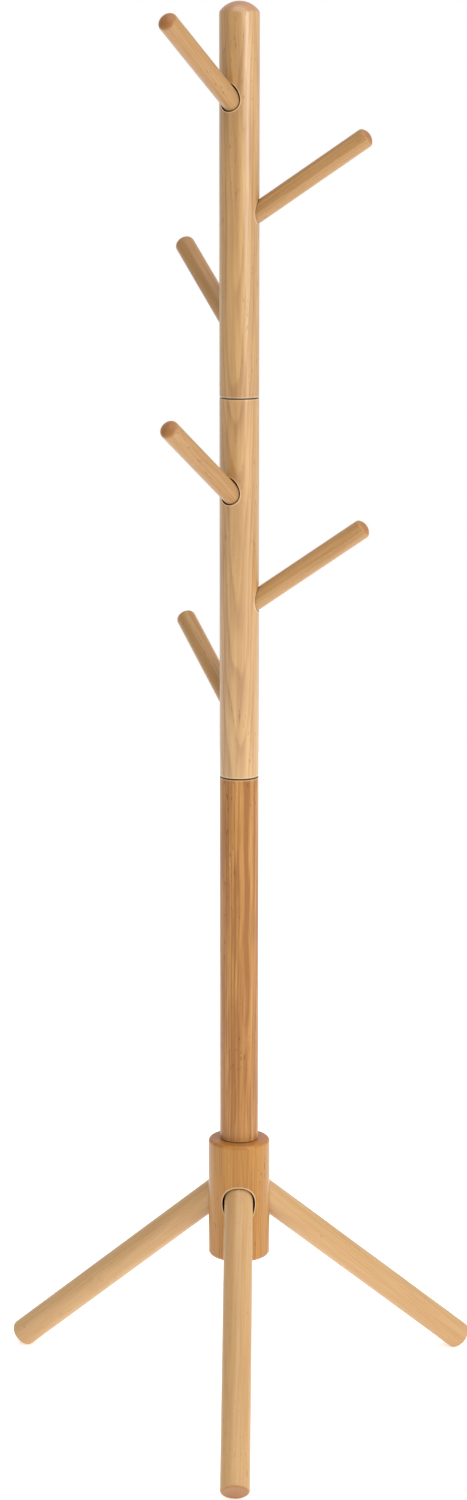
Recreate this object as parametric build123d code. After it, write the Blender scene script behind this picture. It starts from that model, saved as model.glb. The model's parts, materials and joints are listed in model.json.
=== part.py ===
from build123d import *
from math import cos, radians, sin
import os

# Standing coat rack, in millimetres. +Z is up and the front leg points to -Y.
# The origin is on the floor, under the pole's axis.

# Pole: three equal sections stacked end to end on the hub
pole_radius = 18.0
section_length = 350.0
section_edge = 1.2          # rounding of the butted ends
dome_height = 9.5           # crown of the top end
dome_shoulder = 3.0         # rounding where the crown meets the side

# Hub
hub_radius = 29.0
hub_height = 115.0
hub_top = 257.0             # height of the hub's top face above the floor
hub_edge = 3.5

# Legs
leg_radius = 13.5
leg_slope = 40.0            # degrees below level
leg_crossing_drop = 37.0    # from the hub's top face down to where the leg axes meet
leg_foot_edge = 2.5
leg_root_edge = 1.0
leg_socket_clearance = 1.6  # radial, round the leg in its counterbore
leg_socket_depth = 4.2      # at the shallow side of the counterbore, along the leg
leg_turns = {"leg_front": 0.0, "leg_left": -120.0, "leg_right": 120.0}

# Pegs: three on each of the two upper sections, in a rising spiral
peg_radius = 9.0
peg_slope = 34.5            # degrees above level
peg_reach = 141.0           # from the pole's axis to the tip, along the peg
peg_dome_height = 4.5
peg_dome_shoulder = 4.0
peg_root_edge = 1.5
peg_socket_clearance = 1.0
peg_socket_depth = 2.5      # at the shallow side of the counterbore, along the peg
peg_pitch = 100.0           # height between neighbouring pegs of a section
peg_lowest = 54.0           # lowest peg's crossing above the foot of its section
peg_first_turn = -32.5      # the top peg, seen from above, turned from -Y towards +X
peg_step_turn = 120.0
pegs_per_section = 3

# Screw hardware: a stud in each removable piece, an insert in what it screws into
large_stud_radius = 4.0     # legs and pole sections, 8 mm thread
small_stud_radius = 3.0     # pegs, 6 mm thread
insert_wall = 1.5
leg_insert_length = 12.0
pole_insert_length = 15.0
peg_insert_length = 12.0
large_stud_grip = 25.0      # length held in the leg or the pole section
small_stud_grip = 20.0
stud_chamfer = 0.5

# Fits
running_clearance = 0.05    # radial, round a stud in its insert or its own hole
seat_gap = 0.05             # between a tightened piece and its seat
end_gap = 0.5               # past the blind end of a stud
lip_edge = 0.6              # softened mouth of each counterbore
rim_band = 0.001            # how near an edge lies to the height it is looked up by

hub_bottom = hub_top - hub_height
leg_crossing = hub_top - leg_crossing_drop
section_rise = section_length + seat_gap
pole_foot = hub_top + seat_gap


def socket_start(host_radius, bore_radius, slope, depth):
    """Distance along a slanted axis, from the crossing to the counterbore's floor."""
    shallow_mouth = (host_radius - bore_radius * sin(radians(slope))) / cos(radians(slope))
    return shallow_mouth - depth


leg_bore_radius = leg_radius + leg_socket_clearance
leg_socket_start = socket_start(hub_radius, leg_bore_radius, leg_slope, leg_socket_depth)
peg_bore_radius = peg_radius + peg_socket_clearance
peg_socket_start = socket_start(pole_radius, peg_bore_radius, peg_slope, peg_socket_depth)


def axis_plane(height, turn, slope):
    """Plane whose normal leaves the pole's axis at this height, turn and slope above level."""
    level = cos(radians(slope))
    direction = (level * sin(radians(turn)), -level * cos(radians(turn)), sin(radians(slope)))
    return Plane(origin=(0, 0, height), z_dir=direction)


def rod(radius, start, end):
    """Cylinder on +Z between two heights."""
    return Pos(0, 0, start) * Cylinder(radius, end - start, align=(Align.CENTER, Align.CENTER, Align.MIN))


def rim(solid, height):
    """Edges that lie at one height on +Z."""
    return solid.edges().filter_by_position(Axis.Z, height - rim_band, height + rim_band)


def domed_rod(radius, start, end, crown, shoulder, root_edge):
    """Rod with a softly crowned top end and a rounded lower edge."""
    crown_radius = (radius**2 + crown**2) / (2 * crown)
    ball = Pos(0, 0, end - crown_radius) * Sphere(crown_radius)
    column = rod(radius, start, end) & (rod(radius, start, end - crown) + ball)
    column = fillet(rim(column, end - crown), shoulder)
    return fillet(rim(column, start), root_edge)


def stud_hole(radius, seat, grip):
    """Blind hole for a stud's grip, starting at the seated face."""
    return rod(radius + running_clearance, seat, seat + seat_gap + grip + end_gap)


def stud(radius, seat, insert_length, grip):
    """Headless stud, from the end of its insert to the end of its grip."""
    bar = rod(radius, seat - insert_length, seat + seat_gap + grip)
    return chamfer(bar.edges().filter_by(GeomType.CIRCLE), stud_chamfer)


def insert(radius, seat, length):
    """Sleeve whose mouth is flush with the seat."""
    return rod(radius + insert_wall, seat - length, seat) - rod(radius + running_clearance, seat - length, seat)


def insert_hole(radius, seat, length):
    """Hole that holds an insert, with room past it for the stud's end."""
    return rod(radius + insert_wall, seat - length, seat) + rod(radius, seat - length - end_gap, seat)


def socket(host, place, radius, start, reach):
    """Slanted counterbore cut into the host, with its mouth softened."""
    cut = host - place * rod(radius, start, reach)
    outer = [edge for edge in cut.edges() if edge.geom_type not in (GeomType.CIRCLE, GeomType.LINE)]
    mouth = [edge for edge in outer if abs(distance_to_axis(edge @ 0, place) - radius) < rim_band]
    return chamfer(mouth, lip_edge)


def distance_to_axis(point, place):
    """Distance of a point from a plane's normal line."""
    local = place.to_local_coords(point)
    return (local.X**2 + local.Y**2) ** 0.5


def leg_place(name):
    return axis_plane(leg_crossing, leg_turns[name], -leg_slope)


def leg_length():
    """Distance from the crossing to the foot's end, so that the rounded foot just rests on the floor."""
    edge_centre = leg_crossing - leg_foot_edge - (leg_radius - leg_foot_edge) * cos(radians(leg_slope))
    return edge_centre / sin(radians(leg_slope)) + leg_foot_edge


def make_hub():
    hub = rod(hub_radius, hub_bottom, hub_top)
    hub = fillet(hub.edges().filter_by(GeomType.CIRCLE), hub_edge)
    for name in leg_turns:
        place = leg_place(name)
        hub = socket(hub, place, leg_bore_radius, leg_socket_start, leg_length())
        hub -= place * insert_hole(large_stud_radius, leg_socket_start, leg_insert_length)
    return hub - insert_hole(large_stud_radius, hub_top, pole_insert_length)


def make_leg(name):
    place = leg_place(name)
    face = leg_socket_start + seat_gap
    leg = rod(leg_radius, face, leg_length())
    leg = fillet(rim(leg, leg_length()), leg_foot_edge)
    leg = fillet(rim(leg, face), leg_root_edge)
    return place * (leg - stud_hole(large_stud_radius, leg_socket_start, large_stud_grip))


def peg_height(order):
    """Crossing height above the foot of the section, top peg first."""
    return peg_lowest + peg_pitch * (pegs_per_section - 1 - order)


def peg_place(foot, order):
    return axis_plane(foot + peg_height(order), peg_first_turn + peg_step_turn * order, peg_slope)


def make_section(foot, has_pegs, is_top):
    top = foot + section_length
    if is_top:
        section = domed_rod(pole_radius, foot, top, dome_height, dome_shoulder, section_edge)
    else:
        section = rod(pole_radius, foot, top)
        section = fillet(section.edges().filter_by(GeomType.CIRCLE), section_edge)
        section -= insert_hole(large_stud_radius, top, pole_insert_length)
    section -= stud_hole(large_stud_radius, foot - seat_gap, large_stud_grip)
    for order in range(pegs_per_section if has_pegs else 0):
        place = peg_place(foot, order)
        section = socket(section, place, peg_bore_radius, peg_socket_start, peg_reach)
        section -= place * insert_hole(small_stud_radius, peg_socket_start, peg_insert_length)
    return section


def make_peg(place):
    face = peg_socket_start + seat_gap
    peg = domed_rod(peg_radius, face, peg_reach, peg_dome_height, peg_dome_shoulder, peg_root_edge)
    return place * (peg - stud_hole(small_stud_radius, peg_socket_start, small_stud_grip))


def make_all():
    """Every node of the rack, by name."""
    nodes = {"hub": make_hub()}
    for name in leg_turns:
        place = leg_place(name)
        nodes[name] = make_leg(name)
        nodes[name + "_stud"] = place * stud(
            large_stud_radius, leg_socket_start, leg_insert_length, large_stud_grip)
        nodes[name + "_insert"] = place * insert(large_stud_radius, leg_socket_start, leg_insert_length)
    for level, name in enumerate(["pole_lower", "pole_middle", "pole_upper"]):
        foot = pole_foot + section_rise * level
        seat = foot - seat_gap
        nodes[name] = make_section(foot, name != "pole_lower", name == "pole_upper")
        nodes[name + "_stud"] = stud(large_stud_radius, seat, pole_insert_length, large_stud_grip)
        nodes[name + "_insert"] = insert(large_stud_radius, seat, pole_insert_length)
    peg_number = 1
    for level in (2, 1):
        foot = pole_foot + section_rise * level
        for order in range(pegs_per_section):
            place = peg_place(foot, order)
            name = f"peg_{peg_number}"
            nodes[name] = make_peg(place)
            nodes[name + "_stud"] = place * stud(
                small_stud_radius, peg_socket_start, peg_insert_length, small_stud_grip)
            nodes[name + "_insert"] = place * insert(small_stud_radius, peg_socket_start, peg_insert_length)
            peg_number += 1
    return nodes


os.makedirs("parts", exist_ok=True)
for node_name, solid in make_all().items():
    export_step(solid, f"parts/{node_name}.step")
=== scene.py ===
import bpy
import json
import random
from math import pi, radians
from mathutils import Matrix, Vector

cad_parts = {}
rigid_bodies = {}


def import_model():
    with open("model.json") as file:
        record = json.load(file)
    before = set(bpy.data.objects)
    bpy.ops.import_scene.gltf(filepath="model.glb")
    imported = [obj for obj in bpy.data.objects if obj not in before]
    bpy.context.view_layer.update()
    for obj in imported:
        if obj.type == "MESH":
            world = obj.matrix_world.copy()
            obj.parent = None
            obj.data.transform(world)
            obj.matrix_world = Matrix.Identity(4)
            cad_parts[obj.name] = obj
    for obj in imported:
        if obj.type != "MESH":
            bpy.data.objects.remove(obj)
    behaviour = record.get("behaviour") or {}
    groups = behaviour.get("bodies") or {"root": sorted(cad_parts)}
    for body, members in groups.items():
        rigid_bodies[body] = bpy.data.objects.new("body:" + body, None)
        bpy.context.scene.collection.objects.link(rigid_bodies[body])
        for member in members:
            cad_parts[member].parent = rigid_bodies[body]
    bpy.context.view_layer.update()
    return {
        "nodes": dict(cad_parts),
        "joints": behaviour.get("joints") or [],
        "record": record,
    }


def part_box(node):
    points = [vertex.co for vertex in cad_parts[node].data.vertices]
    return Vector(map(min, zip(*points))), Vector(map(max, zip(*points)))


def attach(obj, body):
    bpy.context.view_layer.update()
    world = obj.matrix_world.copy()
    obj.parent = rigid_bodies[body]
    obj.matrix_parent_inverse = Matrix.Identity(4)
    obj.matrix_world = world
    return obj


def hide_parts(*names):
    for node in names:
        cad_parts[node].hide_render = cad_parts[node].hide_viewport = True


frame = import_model()

scene = bpy.context.scene
nodes = frame["nodes"]
mm = 0.001
up = Vector((0, 0, 1))
chance = random.Random(41)

legNames = ["leg_front", "leg_left", "leg_right"]
sectionNames = ["pole_lower", "pole_middle", "pole_upper"]
pegNames = ["peg_1", "peg_2", "peg_3", "peg_4", "peg_5", "peg_6"]
screwedNames = legNames + sectionNames + pegNames

# every screwed piece turns about its own axis, which the frame's joints know
axisPoint = {"hub": Vector((0, 0, 0))}
axisAim = {"hub": up}
for joint in frame["joints"]:
    if joint["name"].endswith("_turn"):
        axisPoint[joint["child"]] = Vector(joint["pos_m"])
        axisAim[joint["child"]] = Vector(joint["axis"]).normalized()


def turnTo(aim):
    return up.rotation_difference(aim)


def span(nodeName, pieceName):
    # where a frame solid starts and ends along a piece's axis
    heights = [(vertex.co - axisPoint[pieceName]).dot(axisAim[pieceName])
               for vertex in nodes[nodeName].data.vertices]
    return min(heights), max(heights)


def tint(red, green, blue):
    def channel(value):
        value /= 255
        return value / 12.92 if value <= 0.04045 else ((value + 0.055) / 1.055) ** 2.4
    return (channel(red), channel(green), channel(blue), 1)


# studio: camera, white floor, pale room, one tall softbox on the right and one overhead

cameraSetup = {
    "place": (0.0433, -3.0487, 1.2705),
    "lookDown": 11.84,      # degrees below level
    "turnLeft": 0.913,      # degrees off straight ahead
    "lens": 80.94,
}

bpy.ops.object.camera_add(
    location=cameraSetup["place"],
    rotation=(radians(90 - cameraSetup["lookDown"]), 0, radians(cameraSetup["turnLeft"])))
camera = bpy.context.object
camera.name = "camera"
camera.data.lens = cameraSetup["lens"]
scene.camera = camera
scene.view_settings.view_transform = "Standard"


def addNode(tree, kind, sources=None, values=None, **settings):
    node = tree.nodes.new("ShaderNode" + kind)
    for name, value in settings.items():
        setattr(node, name, value)
    for socket, value in (values or {}).items():
        node.inputs[socket].default_value = value
    for socket, source in (sources or {}).items():
        tree.links.new(source, node.inputs[socket])
    return node


def spread(tree, value, source, target=(0, 1)):
    # one range of values carried over to another
    node = addNode(tree, "MapRange", {"Value": value}, {
        "From Min": source[0], "From Max": source[1], "To Min": target[0], "To Max": target[1]})
    return node.outputs["Result"]


def vector(tree, operation, first, second=None):
    node = tree.nodes.new("ShaderNodeVectorMath")
    node.operation = operation
    for index, value in enumerate((first, second)):
        if isinstance(value, bpy.types.NodeSocket):
            tree.links.new(value, node.inputs[index])
        elif value is not None:
            node.inputs[index].default_value = value
    return node


def newMaterial(name):
    material = bpy.data.materials.new(name)
    material.use_nodes = True
    return material, material.node_tree, material.node_tree.nodes["Principled BSDF"]


roomSetup = {
    "floorSize": 6,
    "floorTone": (0.95, 0.97),
    "speckScale": 3.0,
    "speckDetail": 3.0,
    "floorRoughness": 0.9,
    "floorShine": 0.1,
    "floorGlow": 0.52,              # the floor is lit a little from below, as a studio table is
    "backdropTone": 0.72,           # the white sweep behind the rack, as the lacquer mirrors it
    "dimTone": 0.34,                # the unlit side of the room, towards the front left
    "dimSide": (-0.45, -0.9, 0.0),
    "dimBlend": (-0.35, 0.25),      # from backdrop to dim side, by how far a way points there
}

bpy.ops.mesh.primitive_plane_add(size=roomSetup["floorSize"])
floor = bpy.context.object
floor.name = "floor"
floorPaint, floorTree, floorShader = newMaterial("floor_paint")
speck = addNode(floorTree, "TexNoise", values={
    "Scale": roomSetup["speckScale"], "Detail": roomSetup["speckDetail"]})
floorTone = spread(floorTree, speck.outputs["Fac"], (0, 1), roomSetup["floorTone"])
floorTree.links.new(floorTone, floorShader.inputs["Base Color"])
floorShader.inputs["Roughness"].default_value = roomSetup["floorRoughness"]
floorShader.inputs["Specular IOR Level"].default_value = roomSetup["floorShine"]
floorShader.inputs["Emission Color"].default_value = (1, 1, 1, 1)
floorShader.inputs["Emission Strength"].default_value = roomSetup["floorGlow"]
floor.data.materials.append(floorPaint)

world = bpy.data.worlds.new("pale_room")
world.use_nodes = True
scene.world = world
sky = world.node_tree
skyWay = addNode(sky, "TexCoord")
towardDim = vector(sky, "DOT_PRODUCT", skyWay.outputs["Generated"], roomSetup["dimSide"]).outputs["Value"]
lit = spread(sky, towardDim, roomSetup["dimBlend"], (roomSetup["backdropTone"], roomSetup["dimTone"]))
# the room behind the rack is seen as plain white from every side
seen = addNode(sky, "LightPath")
skyTone = addNode(sky, "MapRange", {"Value": seen.outputs["Is Camera Ray"], "To Min": lit}, {"To Max": 1.0})
sky.links.new(skyTone.outputs["Result"], sky.nodes["Background"].inputs["Strength"])
sky.nodes["Background"].inputs["Color"].default_value = (1, 1, 1, 1)

lampSetup = {
    # name: place, point it faces, width and height, power
    "softbox": ((1.95, -1.9, 1.85), (0, 0, 1.1), (1.2, 1.6), 36),
    "overhead": ((-0.3, -0.7, 3.6), (0, 0, 0.3), (2.2, 2.2), 9),
}
for lampName, (place, target, size, power) in lampSetup.items():
    bpy.ops.object.light_add(type="AREA", location=place)
    lamp = bpy.context.object
    lamp.name = lampName
    lamp.data.shape = "RECTANGLE"
    lamp.data.size, lamp.data.size_y = size
    lamp.data.energy = power
    lamp.rotation_euler = (Vector(target) - Vector(place)).to_track_quat("-Z", "Y").to_euler()

# a wide sun keeps the whole floor evenly white
sunSetup = {"tilt": (20, 6), "energy": 1.05, "angle": 70}
bpy.ops.object.light_add(type="SUN", rotation=(*map(radians, sunSetup["tilt"]), 0))
sun = bpy.context.object
sun.name = "daylight"
sun.data.energy = sunSetup["energy"]
sun.data.angle = radians(sunSetup["angle"])

print("studio ready")

# wood: growth rings round a distant pith, fibres along the grain, short dark flecks, darker end grain

woodSetup = {
    "hub": {
        "pale": tint(188, 131, 50), "deep": tint(140, 84, 24), "end": tint(182, 116, 50),
        "fleck": tint(104, 56, 20), "ringWidth": 2.6 * mm, "rings": 0.38, "flecks": 0.9, "streaks": 0.45,
        "coat": 0.45, "coatRoughness": 0.14, "coatIor": 1.5,
    },
    "leg": {
        "pale": tint(201, 161, 110), "deep": tint(174, 126, 72), "end": tint(146, 90, 44),
        "fleck": tint(146, 94, 50), "ringWidth": 2.4 * mm, "rings": 0.25, "flecks": 0.5, "streaks": 0.35,
        "coat": 0.3, "coatRoughness": 0.3, "coatIor": 1.5,
    },
    "pole_lower": {
        "pale": tint(205, 151, 82), "deep": tint(154, 98, 40), "end": tint(160, 98, 44),
        "fleck": tint(106, 60, 24), "ringWidth": 2.6 * mm, "rings": 0.62, "flecks": 1.0, "streaks": 0.9,
        "coat": 0.3, "coatRoughness": 0.28, "coatIor": 1.5,
    },
    "pole": {
        "pale": tint(210, 165, 99), "deep": tint(150, 92, 34), "end": tint(182, 112, 50),
        "fleck": tint(112, 66, 30), "ringWidth": 2.2 * mm, "rings": 0.4, "flecks": 0.6, "streaks": 0.42,
        "coat": 1.0, "coatRoughness": 0.36, "coatIor": 1.9,
    },
    "peg": {
        "pale": tint(188, 145, 92), "deep": tint(148, 99, 52), "end": tint(168, 106, 52),
        "fleck": tint(118, 72, 34), "ringWidth": 2.0 * mm, "rings": 0.32, "flecks": 0.6, "streaks": 0.35,
        "coat": 0.35, "coatRoughness": 0.28, "coatIor": 1.5,
    },
}
boardSetup = {
    "pithAway": (38, 70),       # mm from the piece's axis to the heart of the trunk
    "pithAside": 20,            # mm either way
    "upTrunk": 4,               # m either way
    "lean": 1.6,                # degrees either way
    "ringStretch": 0.16,        # how slowly the rings change up the trunk
    "ringWander": 9 * mm,
    "wanderScale": 26.0,
    "wanderDetail": 2.0,
    "ringTones": ((0.45, 0.25), (0.78, 0.9), (0.90, 1.0)),  # from early to late wood
    "ringGround": 0.1,
    "driftAmount": 0.3,
    "fibreAmount": 0.22,
    "fibreNoise": 0.55,
    "palest": 0.28,             # taken off the sum, so that the pale wood stays pale
    "endBlend": (0.25, 0.9),
    "endDepth": 0.85,
    "roughness": (0.40, 0.52),
    "shine": 0.3,
    "fleckRelief": -1.2,
    "fibreRelief": 0.5,
    "reliefStrength": 0.35,
    "reliefDepth": 0.12 * mm,
}
grainSetup = {
    # stretch along the grain, scale, detail, and where the noise starts and is full
    "drift": (0.3, 14, 2, (0.3, 0.7)),
    "streaks": (0.05, 190, 3, (0.3, 0.7)),
    "fibres": (0.025, 900, 4, (0.3, 0.7)),
    "flecks": (0.2, 620, 1, (0.66, 0.74)),
    "fleckZones": (0.3, 50, 1, (0.42, 0.6)),
}
# counterbores: painted shade inside them, and a pale ring of painted highlight round each mouth
boreSetup = {
    "radius": {"leg": 15.1 * mm, "peg": 10.0 * mm},
    # painted shade, near black, on the counterbore walls
    "dark": tint(26, 13, 7),
    "shadePast": 0.4 * mm,
    # painted highlight, used round the counterbore mouths and beside the pole's joints
    "paintedHighlight": tint(240, 206, 158),
    "paintedHighlightBand": (0.8 * mm, 1.5 * mm),
    "paintedHighlightAmount": 0.6,
}
# seams: a dark line along the butted ends, and a pale band of painted highlight on the rounded edge beside it
seamSetup = {
    "dark": tint(46, 22, 8),
    "darkBand": (0.5 * mm, 0.9 * mm),   # from the butted end
    "darkAmount": 0.95,
    "rimBand": (1.5 * mm, 1.0 * mm),    # in from the pole's side
    "paintedHighlightBand": (1.2 * mm, 2.2 * mm),
    "paintedHighlightAmount": 0.3,
}
lowest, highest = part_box("pole_lower")
poleRadius = (highest[0] - lowest[0]) / 2


def mixColour(tree, amount, first, second):
    mix = tree.nodes.new("ShaderNodeMix")
    mix.data_type = "RGBA"
    for index, value in ((0, amount), (6, first), (7, second)):
        if isinstance(value, bpy.types.NodeSocket):
            tree.links.new(value, mix.inputs[index])
        else:
            mix.inputs[index].default_value = value
    return mix.outputs[2]


def grain(tree, timber, kind):
    # noise drawn out along the grain and spread to the full 0 to 1
    stretch, scale, detail, band = grainSetup[kind]
    drawn = addNode(tree, "Mapping", {"Vector": timber}, {"Scale": (1, 1, stretch)})
    noise = addNode(tree, "TexNoise", {"Vector": drawn.outputs["Vector"]},
                    {"Scale": scale, "Detail": detail, "Roughness": boardSetup["fibreNoise"]})
    return spread(tree, noise.outputs["Fac"], band)


def combine(tree, operation, first, second=0, third=None):
    math = tree.nodes.new("ShaderNodeMath")
    math.operation = operation
    for index, value in enumerate((first, second, third)):
        if isinstance(value, bpy.types.NodeSocket):
            tree.links.new(value, math.inputs[index])
        elif value is not None:
            math.inputs[index].default_value = value
    return math.outputs[0]


def growthRings(tree, timber, look):
    # rings about the heart of the trunk, wandering a little on their way up
    drawn = addNode(tree, "Mapping", {"Vector": timber}, {"Scale": (1, 1, boardSetup["ringStretch"])})
    drawn = drawn.outputs["Vector"]
    wander = addNode(tree, "TexNoise", {"Vector": drawn}, {
        "Scale": boardSetup["wanderScale"], "Detail": boardSetup["wanderDetail"]})
    swing = vector(tree, "SUBTRACT", wander.outputs["Color"], (0.5, 0.5, 0.5))
    swing = vector(tree, "SCALE", swing.outputs["Vector"])
    swing.inputs["Scale"].default_value = boardSetup["ringWander"]
    bent = vector(tree, "ADD", drawn, swing.outputs["Vector"])
    flat = vector(tree, "MULTIPLY", bent.outputs["Vector"], (1, 1, 0))
    radius = vector(tree, "LENGTH", flat.outputs["Vector"]).outputs["Value"]
    phase = combine(tree, "FRACT", combine(tree, "DIVIDE", radius, look["ringWidth"]))
    ringShape = addNode(tree, "ValToRGB", {"Fac": phase})
    ramp = ringShape.color_ramp
    ramp.interpolation = "B_SPLINE"
    for end in ramp.elements:
        end.color = (*[boardSetup["ringGround"]] * 3, 1)
    for position, tone in boardSetup["ringTones"]:
        ramp.elements.new(position).color = (tone, tone, tone, 1)
    return combine(tree, "MULTIPLY", ringShape.outputs["Color"], look["rings"])


def drillMouths(tree, place, colour, mouths):
    # a drilled counterbore is bare inside with no lacquer, and its walls are painted near black as shade; a
    # ring of painted highlight lies round its softened mouth
    bare = 0
    for point, direction, boreRadius in mouths:
        offset = vector(tree, "SUBTRACT", place, point).outputs["Vector"]
        across = vector(tree, "CROSS_PRODUCT", offset, direction).outputs["Vector"]
        reach = vector(tree, "LENGTH", across).outputs["Value"]
        outward = vector(tree, "DOT_PRODUCT", offset, direction).outputs["Value"]
        front = combine(tree, "GREATER_THAN", outward)
        near, far = boreSetup["paintedHighlightBand"]
        mouthHighlight = spread(tree, reach, (boreRadius + near, boreRadius + far), (boreSetup["paintedHighlightAmount"], 0))
        inside = combine(tree, "LESS_THAN", reach, boreRadius + boreSetup["shadePast"])
        # painted highlight: a pale ring round the mouth
        colour = mixColour(tree, combine(tree, "MULTIPLY", mouthHighlight, front), colour, boreSetup["paintedHighlight"])
        drilled = combine(tree, "MULTIPLY", inside, front)
        # painted shade: the bore's walls near black
        colour = mixColour(tree, drilled, colour, boreSetup["dark"])
        bare = combine(tree, "MAXIMUM", bare, drilled)
    return colour, bare


def buttEnds(tree, place, colour, ends):
    # a butted end is dark round its very rim, a dark line along the joint, and plain end grain inside it;
    # beside the joint a pale band of painted highlight lies on the rounded edge
    height = addNode(tree, "SeparateXYZ", {"Vector": place}).outputs["Z"]
    level = vector(tree, "MULTIPLY", place, (1, 1, 0)).outputs["Vector"]
    distance = vector(tree, "LENGTH", level).outputs["Value"]
    deep, shallow = seamSetup["rimBand"]
    rim = spread(tree, distance, (poleRadius - deep, poleRadius - shallow))
    for end in ends:
        away = combine(tree, "ABSOLUTE", combine(tree, "SUBTRACT", height, end))
        # painted highlight: a pale band on the rounded edge beside the joint
        edgeHighlight = spread(tree, away, seamSetup["paintedHighlightBand"], (seamSetup["paintedHighlightAmount"], 0))
        colour = mixColour(tree, edgeHighlight, colour, boreSetup["paintedHighlight"])
        # a dark line along the joint, round the rim of the end
        line = spread(tree, away, seamSetup["darkBand"], (seamSetup["darkAmount"], 0))
        colour = mixColour(tree, combine(tree, "MULTIPLY", line, rim), colour, seamSetup["dark"])
    return colour


def makeWood(pieceName, look, mouths=(), ends=()):
    material, tree, shader = newMaterial(pieceName + "_beech")
    coords = addNode(tree, "TexCoord")
    aim = axisAim[pieceName]
    piece = addNode(tree, "Mapping", {"Vector": coords.outputs["Object"]}, {
        "Location": axisPoint[pieceName], "Rotation": turnTo(aim).to_euler()}, vector_type="TEXTURE")
    # each piece is cut from its own place in its own board
    aside, upTrunk, most = boardSetup["pithAside"], boardSetup["upTrunk"], boardSetup["lean"]
    pith = (chance.uniform(*boardSetup["pithAway"]) * mm, chance.uniform(-aside, aside) * mm,
            chance.uniform(-upTrunk, upTrunk))
    lean = (radians(chance.uniform(-most, most)), radians(chance.uniform(-most, most)),
            chance.uniform(0, 2 * pi))
    timber = addNode(tree, "Mapping", {"Vector": piece.outputs["Vector"]},
                     {"Location": pith, "Rotation": lean}).outputs["Vector"]

    drift, streaks, fibres, flecks, fleckZones = (grain(tree, timber, kind) for kind in grainSetup)
    fleckAmount = combine(tree, "MULTIPLY", combine(tree, "MULTIPLY", flecks, fleckZones), look["flecks"])
    depth = combine(tree, "MULTIPLY_ADD", streaks, look["streaks"],
                    combine(tree, "MULTIPLY", fibres, boardSetup["fibreAmount"]))
    depth = combine(tree, "ADD", depth, growthRings(tree, timber, look))
    depth = combine(tree, "MULTIPLY_ADD", drift, boardSetup["driftAmount"], depth)
    depth = combine(tree, "SUBTRACT", depth, boardSetup["palest"])
    colour = mixColour(tree, depth, look["pale"], look["deep"])
    colour = mixColour(tree, fleckAmount, colour, look["fleck"])

    # end grain drinks more stain
    endWay = vector(tree, "DOT_PRODUCT", coords.outputs["Normal"], aim).outputs["Value"]
    endAmount = spread(tree, combine(tree, "ABSOLUTE", endWay), boardSetup["endBlend"],
                       (0, boardSetup["endDepth"]))
    colour = mixColour(tree, endAmount, colour, mixColour(tree, depth, look["end"], look["deep"]))

    colour, bare = drillMouths(tree, coords.outputs["Object"], colour, mouths)
    if ends:
        colour = buttEnds(tree, piece.outputs["Vector"], colour, ends)

    roughness = spread(tree, fibres, (0, 1), boardSetup["roughness"])
    shader.inputs["Coat Weight"].default_value = look["coat"]
    if mouths:
        # no lacquer reaches the inside of a counterbore
        roughness = combine(tree, "MAXIMUM", roughness, bare)
        lacquer = combine(tree, "MULTIPLY_ADD", bare, -look["coat"], look["coat"])
        tree.links.new(lacquer, shader.inputs["Coat Weight"])
    relief = combine(tree, "MULTIPLY_ADD", fleckAmount, boardSetup["fleckRelief"],
                     combine(tree, "MULTIPLY", fibres, boardSetup["fibreRelief"]))
    bump = addNode(tree, "Bump", {"Height": relief}, {
        "Strength": boardSetup["reliefStrength"], "Distance": boardSetup["reliefDepth"]})
    tree.links.new(colour, shader.inputs["Base Color"])
    tree.links.new(roughness, shader.inputs["Roughness"])
    tree.links.new(bump.outputs["Normal"], shader.inputs["Normal"])
    shader.inputs["Specular IOR Level"].default_value = boardSetup["shine"]
    shader.inputs["Coat Roughness"].default_value = look["coatRoughness"]
    shader.inputs["Coat IOR"].default_value = look["coatIor"]
    return material


bodyParent = {joint["child"]: joint["parent"] for joint in frame["joints"]}


def boreMouths(hostName):
    # the counterbores of the pieces screwed into this one at a slant
    mouths = []
    for name in legNames + pegNames:
        host = bodyParent[name + "_screw"]
        if host == ("base" if hostName == "hub" else hostName):
            mouths.append((axisPoint[name], axisAim[name], boreSetup["radius"][name.split("_")[0]]))
    return mouths


def paintNode(nodeName, material):
    for slot in nodes[nodeName].material_slots:
        slot.material = material


paintNode("hub", makeWood("hub", woodSetup["hub"], boreMouths("hub")))
for name in legNames:
    paintNode(name, makeWood(name, woodSetup["leg"]))
for name in sectionNames:
    look = woodSetup["pole_lower" if name == "pole_lower" else "pole"]
    low, high = span(name, name)
    ends = (low,) if name == "pole_upper" else (low, high)
    paintNode(name, makeWood(name, look, boreMouths(name), ends))
for name in pegNames:
    paintNode(name, makeWood(name, woodSetup["peg"]))
print("wood finished")

# screw hardware: studs with a rolled thread, and tapped inserts that bite into the wood
# the patterns are modelled in millimetres, upright from zero, and setPiece brings them to metres

screwSetup = {
    "large": {"crest": 3.97, "root": 3.35, "pitch": 1.25},
    "small": {"crest": 2.97, "root": 2.45, "pitch": 1.0},
    "endChamfer": 0.7,
    "sides": 24,
    "cutterRoom": 0.02,     # how far a trimming bar stands outside the crests
    "weld": 0.001,
    "cutTolerance": 0.0001,
    "startBack": 1.87,      # turns below the low end, so that no point of the thread lies on the cut
    "chamferLimit": 60,     # only edges sharper than this many degrees are chamfered
    "smoothLimit": 28,
}
insertSetup = {
    "large": {"crest": 5.45, "root": 4.9, "pitch": 2.5,
              "tapMinor": 4.08, "tapMajor": 4.5, "keyRadius": 4.8},
    "small": {"crest": 4.45, "root": 3.95, "pitch": 2.0,
              "tapMinor": 3.08, "tapMajor": 3.45, "keyRadius": 3.75},
    "keyDepth": 2.6,        # six-sided recess for the key that drives it
    "leadIn": 0.47,
    "tapOverrun": 2,
}


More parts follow.
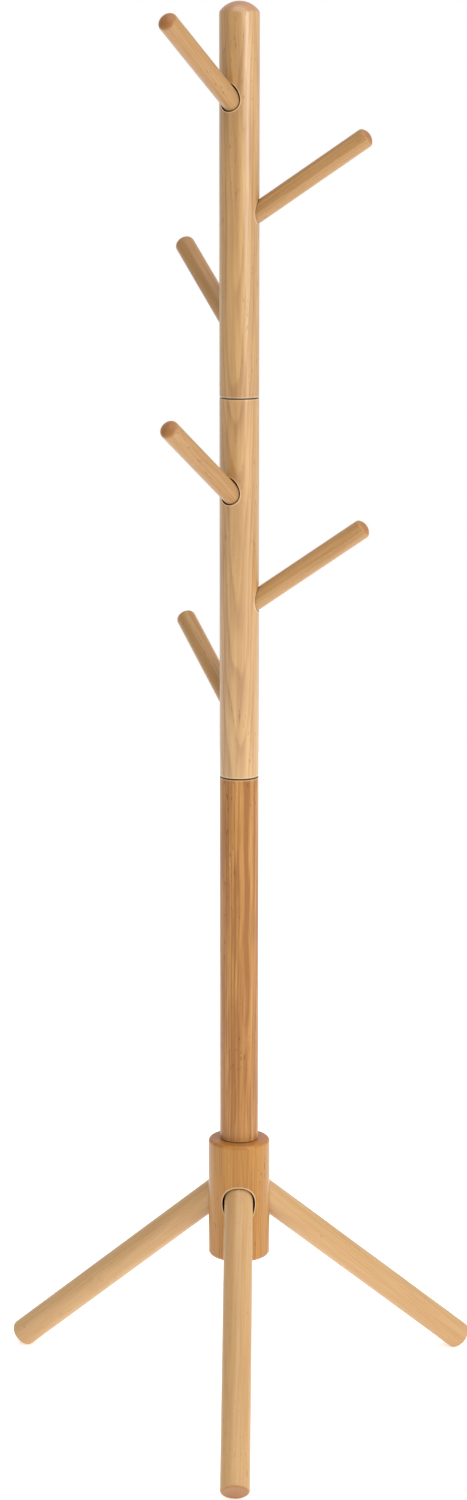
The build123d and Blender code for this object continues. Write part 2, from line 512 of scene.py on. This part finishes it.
def selectOnly(*things):
    bpy.ops.object.select_all(action="DESELECT")
    for thing in things:
        thing.select_set(True)
    bpy.context.view_layer.objects.active = things[-1]


def edit():
    bpy.ops.object.mode_set(mode="EDIT")
    bpy.ops.mesh.select_all(action="SELECT")


def leaveEdit():
    bpy.ops.object.mode_set(mode="OBJECT")


def applyModifier(piece, kind, **settings):
    selectOnly(piece)
    modifier = piece.modifiers.new(kind.lower(), kind)
    for name, value in settings.items():
        setattr(modifier, name, value)
    bpy.ops.object.modifier_apply(modifier=modifier.name)


def cutAway(piece, tool, operation):
    applyModifier(piece, "BOOLEAN", operation=operation, object=tool, solver="EXACT")
    bpy.data.objects.remove(tool)


def threadedBar(crest, root, pitch, low, high):
    # one turn's outline, with flats of an eighth of the pitch, is drawn beside the axis from below the
    # low end, wound up it and cut square at both ends
    start = low - screwSetup["startBack"] * pitch
    bpy.ops.mesh.primitive_plane_add(size=0.1, location=(crest, 0, start))
    bar = bpy.context.object
    bpy.ops.object.transform_apply(location=True)
    edit()
    bpy.ops.mesh.merge(type="CENTER")
    for step in ((0, 0, pitch / 8), (root - crest, 0, pitch * 3 / 8),
                 (0, 0, pitch / 8), (crest - root, 0, pitch * 3 / 8)):
        bpy.ops.mesh.extrude_vertices_move(TRANSFORM_OT_translate={"value": step})
    leaveEdit()
    turns = int((high - low) / pitch) + 4
    applyModifier(bar, "SCREW", axis="Z", angle=2 * pi, screw_offset=pitch, iterations=turns,
                  steps=screwSetup["sides"], render_steps=screwSetup["sides"], use_smooth_shade=False)
    edit()
    bpy.ops.mesh.remove_doubles(threshold=screwSetup["weld"])
    for height, inner in ((low, True), (high, False)):
        bpy.ops.mesh.select_all(action="SELECT")
        bpy.ops.mesh.bisect(plane_co=(0, 0, height), plane_no=(0, 0, 1), threshold=screwSetup["cutTolerance"],
                            use_fill=True, clear_inner=inner, clear_outer=not inner)
    bpy.ops.mesh.select_all(action="SELECT")
    bpy.ops.mesh.normals_make_consistent(inside=False)
    leaveEdit()
    return bar


def chamferedBar(radius, low, high, chamfer, sides=48):
    bpy.ops.mesh.primitive_cylinder_add(vertices=sides, radius=radius, depth=high - low,
                                        location=(0, 0, (low + high) / 2))
    bar = bpy.context.object
    bpy.ops.object.transform_apply(location=True)
    if chamfer:
        applyModifier(bar, "BEVEL", width=chamfer, segments=1, limit_method="ANGLE",
                      angle_limit=radians(screwSetup["chamferLimit"]))
    return bar


def threadedRod(shape, length, chamfer):
    # cut longer than needed, then trimmed to length with its ends chamfered
    rod = threadedBar(shape["crest"], shape["root"], shape["pitch"], -shape["pitch"], length + shape["pitch"])
    trim = chamferedBar(shape["crest"] + screwSetup["cutterRoom"], 0, length, chamfer)
    cutAway(rod, trim, "INTERSECT")
    return rod


def makeStud(size, length):
    return threadedRod(screwSetup[size], length, screwSetup["endChamfer"])


def makeInsert(size, length):
    shape = insertSetup[size]
    insert = threadedRod(shape, length, insertSetup["leadIn"])
    overrun = insertSetup["tapOverrun"]
    tap = threadedBar(shape["tapMajor"], shape["tapMinor"], screwSetup[size]["pitch"],
                      -overrun, length + overrun)
    cutAway(insert, tap, "DIFFERENCE")
    depth = insertSetup["keyDepth"]
    key = chamferedBar(shape["keyRadius"], length - depth, length + depth, 0, sides=6)
    cutAway(insert, key, "DIFFERENCE")
    return insert


def setPiece(pattern, nodeName, pieceName, bodyName, material):
    # a copy of the modelled piece is stood on its own axis, where the frame's solid starts
    low, high = span(nodeName, pieceName)
    aim = axisAim[pieceName]
    piece = pattern.copy()
    piece.data = pattern.data.copy()
    piece.name = nodeName + "_threaded"
    scene.collection.objects.link(piece)
    place = (Matrix.Translation(axisPoint[pieceName] + aim * low) @ turnTo(aim).to_matrix().to_4x4()
             @ Matrix.Scale(mm, 4))
    piece.data.transform(place)
    selectOnly(piece)
    bpy.ops.object.shade_smooth_by_angle(angle=radians(screwSetup["smoothLimit"]))
    piece.data.materials.clear()
    piece.data.materials.append(material)
    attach(piece, bodyName)
    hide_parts(nodeName)


metalSetup = {
    "zinc": {"colour": tint(186, 190, 196), "shade": tint(140, 146, 154), "roughness": (0.24, 0.42)},
    "brass": {"colour": tint(214, 178, 104), "shade": tint(158, 118, 58), "roughness": (0.28, 0.5)},
    "cloudScale": 260.0,
    "cloudDetail": 4.0,
    "cloudBand": (0.35, 0.7),
    "tarnishScale": 4200.0,
    "tarnishDetail": 2.0,
    "reliefStrength": 0.3,
    "reliefDepth": 0.02 * mm,
}


def makeMetal(name, look):
    material, tree, shader = newMaterial(name)
    coords = addNode(tree, "TexCoord").outputs["Object"]
    noise = addNode(tree, "TexNoise", {"Vector": coords}, {
        "Scale": metalSetup["cloudScale"], "Detail": metalSetup["cloudDetail"]})
    cloud = spread(tree, noise.outputs["Fac"], metalSetup["cloudBand"])
    colour = mixColour(tree, cloud, look["colour"], look["shade"])
    roughness = spread(tree, cloud, (0, 1), look["roughness"])
    tarnish = addNode(tree, "TexNoise", {"Vector": coords}, {
        "Scale": metalSetup["tarnishScale"], "Detail": metalSetup["tarnishDetail"]})
    bump = addNode(tree, "Bump", {"Height": tarnish.outputs["Fac"]}, {
        "Strength": metalSetup["reliefStrength"], "Distance": metalSetup["reliefDepth"]})
    tree.links.new(colour, shader.inputs["Base Color"])
    tree.links.new(roughness, shader.inputs["Roughness"])
    tree.links.new(bump.outputs["Normal"], shader.inputs["Normal"])
    shader.inputs["Metallic"].default_value = 1.0
    return material


zinc = makeMetal("zinc_plate", metalSetup["zinc"])
brass = makeMetal("insert_brass", metalSetup["brass"])

bodies = frame["record"]["behaviour"]["bodies"]
nodeBody = {node: body for body, members in bodies.items() for node in members}
patterns = {}
for name in screwedNames:
    size = "small" if name in pegNames else "large"
    for kind, make, slotName, material in (("stud", makeStud, "stud_steel", zinc),
                                           ("insert", makeInsert, "insert_brass", brass)):
        nodeName = name + "_" + kind
        low, high = span(nodeName, name)
        key = (kind, size, round((high - low) / mm, 2))
        if key not in patterns:
            patterns[key] = make(size, (high - low) / mm)
        setPiece(patterns[key], nodeName, name, nodeBody[nodeName], material)
for pattern in patterns.values():
    bpy.data.objects.remove(pattern)
print("screws and inserts cut:", len(patterns), "patterns")
